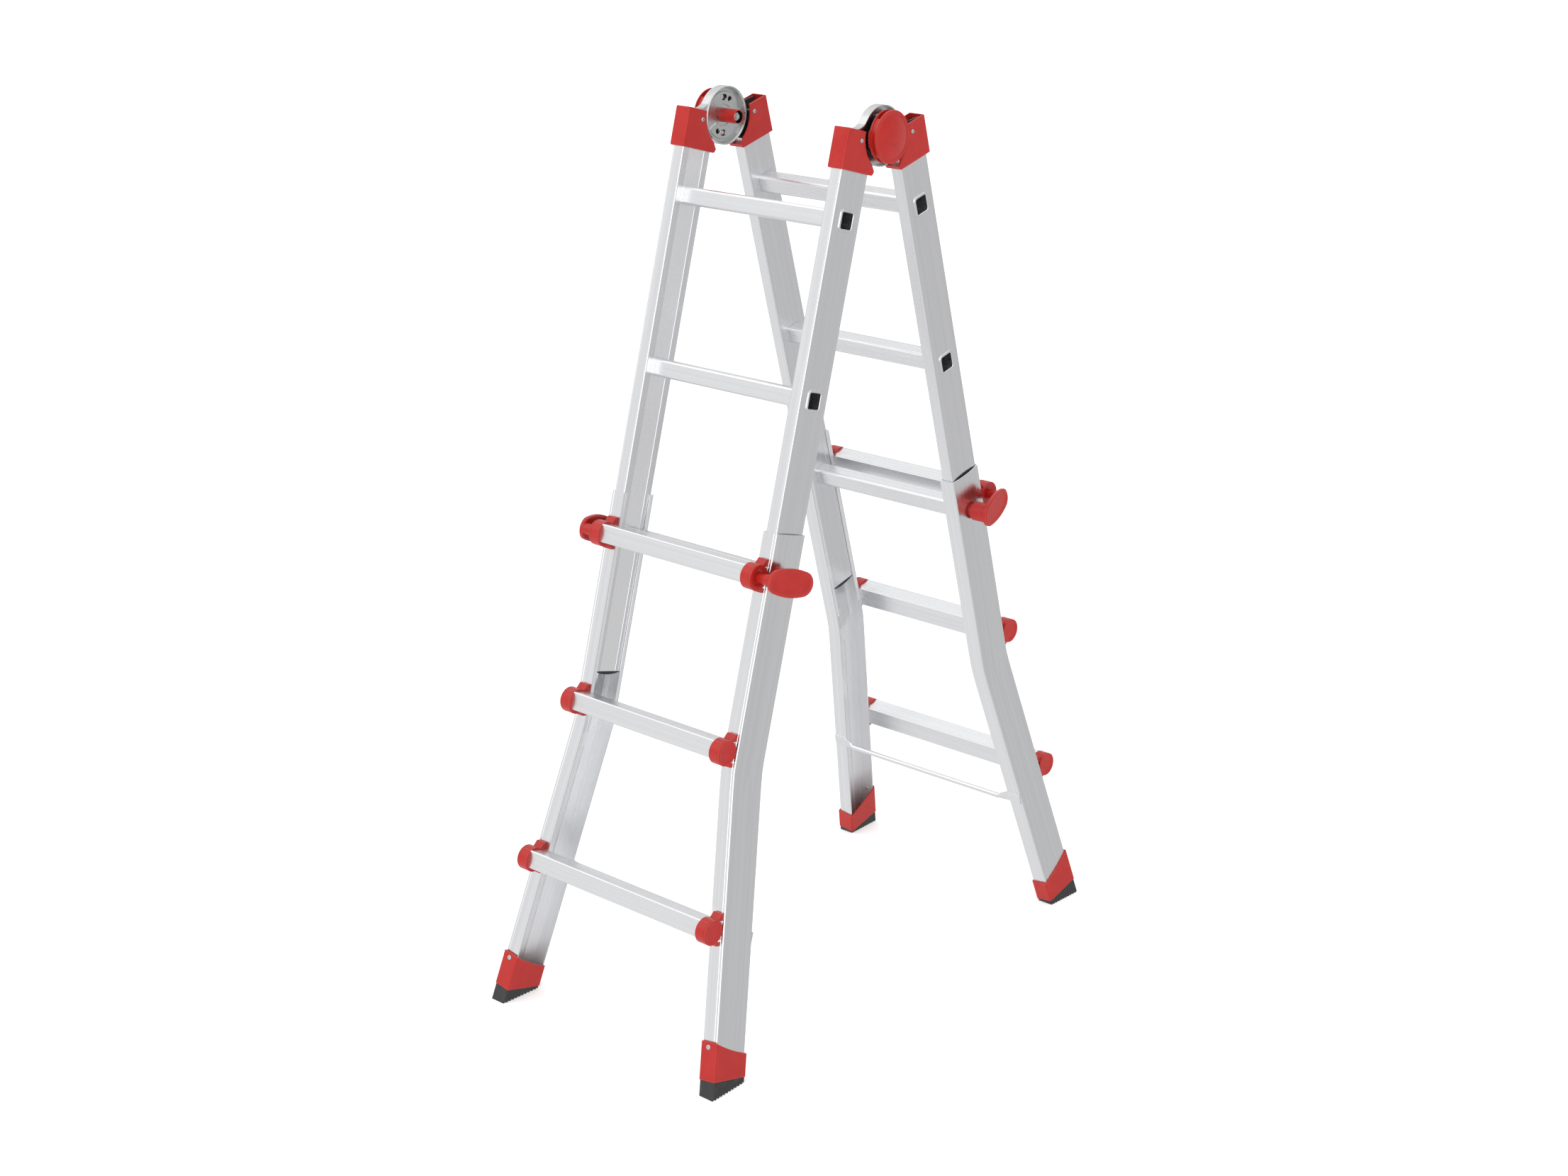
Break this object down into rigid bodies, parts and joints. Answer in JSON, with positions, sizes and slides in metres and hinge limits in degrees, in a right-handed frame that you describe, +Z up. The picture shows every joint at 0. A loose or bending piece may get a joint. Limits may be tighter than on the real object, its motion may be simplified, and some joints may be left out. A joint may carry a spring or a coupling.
{
  "type": "telescoping combination ladder",
  "caption": "Telescoping ladder whose hinged halves stand as an A-frame, shut flat or lock straight, with splayed sliding lower sections held by pull levers.",
  "frame": {"origin": "on the floor, under the middle of the ladder", "axes": "+Z up, +X along the rungs towards the ladder's right side, +Y towards the back half; the hinge axis runs along X at a height of 1.443 m"},
  "size_m": [0.5124, 0.9946, 1.4905],
  "materials": {
    "aluminium": "extruded aluminium, fine lengthwise grain, satin",
    "red_plastic": "moulded red plastic, slightly grained, satin sheen",
    "black_plastic": "matt black moulded plastic",
    "rubber": "matt grey-black rubber",
    "zinc_steel": "zinc-plated pressed steel",
    "dark_steel": "dark coated steel plate"
  },
  "bodies": {
    "front_upper": {"front_upper_stile_left": "aluminium", "front_stile_head_left": "red_plastic", "front_upper_stile_right": "aluminium", "front_stile_head_right": "red_plastic", "front_upper_rung_1": "aluminium", "front_upper_rung_2": "aluminium", "front_upper_rung_3": "aluminium", "front_stile_plugs": "black_plastic", "front_head_fasteners": "zinc_steel", "hinge_front_leaf_left": "zinc_steel", "hinge_hub_left": "red_plastic", "hinge_front_leaf_right": "zinc_steel", "hinge_hub_right": "red_plastic"},
    "front_lower": {"front_lower_stile_left": "aluminium", "front_shoe_left": "red_plastic", "front_lower_stile_right": "aluminium", "front_shoe_right": "red_plastic", "front_lower_rung_1": "aluminium", "front_lower_rung_2": "aluminium", "front_lower_rung_3": "aluminium", "front_rung_brackets": "red_plastic", "front_brace": "aluminium", "front_soles": "rubber", "front_shoe_rivets": "zinc_steel"},
    "back_upper": {"back_upper_stile_left": "aluminium", "back_stile_head_left": "red_plastic", "back_upper_stile_right": "aluminium", "back_stile_head_right": "red_plastic", "back_upper_rung_1": "aluminium", "back_upper_rung_2": "aluminium", "back_upper_rung_3": "aluminium", "back_stile_plugs": "black_plastic", "back_head_fasteners": "zinc_steel", "hinge_back_leaf_left": "dark_steel", "hinge_back_leaf_right": "dark_steel"},
    "back_lower": {"back_lower_stile_left": "aluminium", "back_shoe_left": "red_plastic", "back_lower_stile_right": "aluminium", "back_shoe_right": "red_plastic", "back_lower_rung_1": "aluminium", "back_lower_rung_2": "aluminium", "back_lower_rung_3": "aluminium", "back_rung_brackets": "red_plastic", "back_brace": "aluminium", "back_soles": "rubber", "back_shoe_rivets": "zinc_steel"},
    "front_lever_left": {"front_lock_lever_left": "red_plastic", "front_lever_spring_left": "zinc_steel"},
    "front_lever_right": {"front_lock_lever_right": "red_plastic", "front_lever_spring_right": "zinc_steel"},
    "back_lever_left": {"back_lock_lever_left": "red_plastic", "back_lever_spring_left": "zinc_steel"},
    "back_lever_right": {"back_lock_lever_right": "red_plastic", "back_lever_spring_right": "zinc_steel"},
    "knob_left": {"hinge_knob_left": "red_plastic", "hinge_bolt_left": "zinc_steel", "hinge_lock_pins_left": "zinc_steel"},
    "knob_right": {"hinge_knob_right": "red_plastic", "hinge_bolt_right": "zinc_steel", "hinge_lock_pins_right": "zinc_steel"}
  },
  "joints": [
    {"name": "fold", "type": "hinge", "parent": "front_upper", "child": "back_upper", "pos_m": [0, 0, 1.443], "axis": [1, 0, 0], "range_deg": [-30.9, 149.1]},
    {"name": "front_extension", "type": "slide", "parent": "front_upper", "child": "front_lower", "axis": [0, 0.2664, 0.9639], "range_m": [0, 0.56]},
    {"name": "back_extension", "type": "slide", "parent": "back_upper", "child": "back_lower", "axis": [0, -0.2664, 0.9639], "range_m": [0, 0.56]},
    {"name": "front_lever_pull_left", "type": "slide", "parent": "front_lower", "child": "front_lever_left", "axis": [-1, 0, 0], "range_m": [-0.003, 0.008]},
    {"name": "front_lever_pull_right", "type": "slide", "parent": "front_lower", "child": "front_lever_right", "axis": [1, 0, 0], "range_m": [-0.003, 0.008]},
    {"name": "back_lever_pull_left", "type": "slide", "parent": "back_lower", "child": "back_lever_left", "axis": [-1, 0, 0], "range_m": [-0.003, 0.008]},
    {"name": "back_lever_pull_right", "type": "slide", "parent": "back_lower", "child": "back_lever_right", "axis": [1, 0, 0], "range_m": [-0.003, 0.008]},
    {"name": "knob_pull_left", "type": "slide", "parent": "back_upper", "child": "knob_left", "axis": [-1, 0, 0], "range_m": [-0.003, 0.006]},
    {"name": "knob_pull_right", "type": "slide", "parent": "back_upper", "child": "knob_right", "axis": [1, 0, 0], "range_m": [-0.003, 0.006]}
  ]
}
